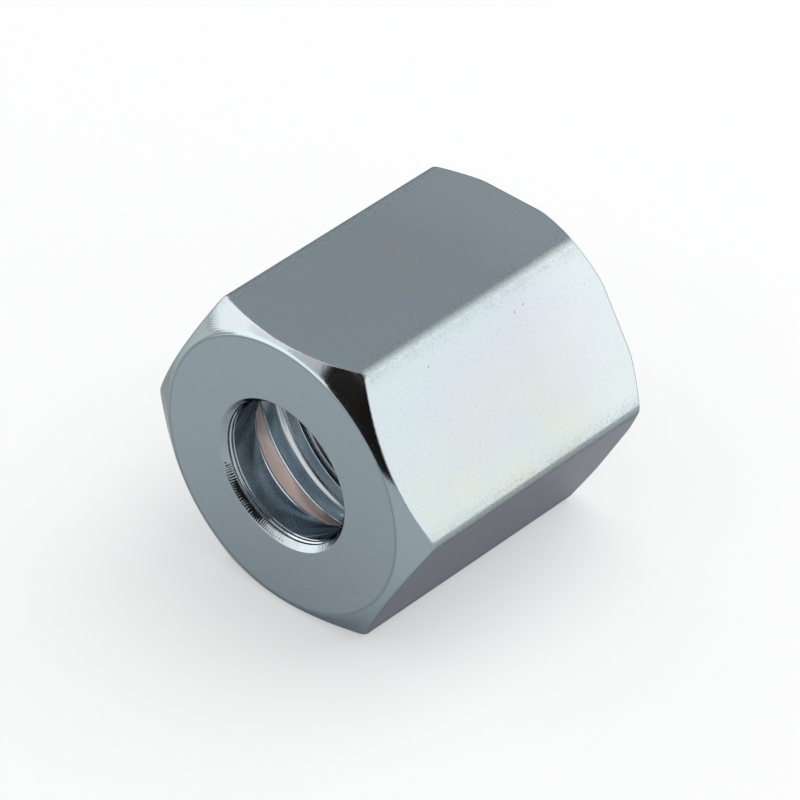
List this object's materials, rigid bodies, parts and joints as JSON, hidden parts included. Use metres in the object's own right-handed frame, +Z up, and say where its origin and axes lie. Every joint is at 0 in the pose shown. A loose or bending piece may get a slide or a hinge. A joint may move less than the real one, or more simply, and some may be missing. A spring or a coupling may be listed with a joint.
{
  "type": "union nut",
  "caption": "Long hexagon union nut of zinc-plated steel, with a pipe throat at one end, a conical seat inside and an internal thread at the other end.",
  "frame": {"origin": "middle of the flat that the nut rests on", "axes": "+Z up, +Y along the nut's axis towards the thread mouth, +X across the corners"},
  "size_m": [0.0196, 0.0176, 0.017],
  "materials": {
    "zinc_plated_steel": "bright zinc plate with a clear blue passivation"
  },
  "bodies": {
    "root": {"union_nut": "zinc_plated_steel"}
  },
  "joints": []
}
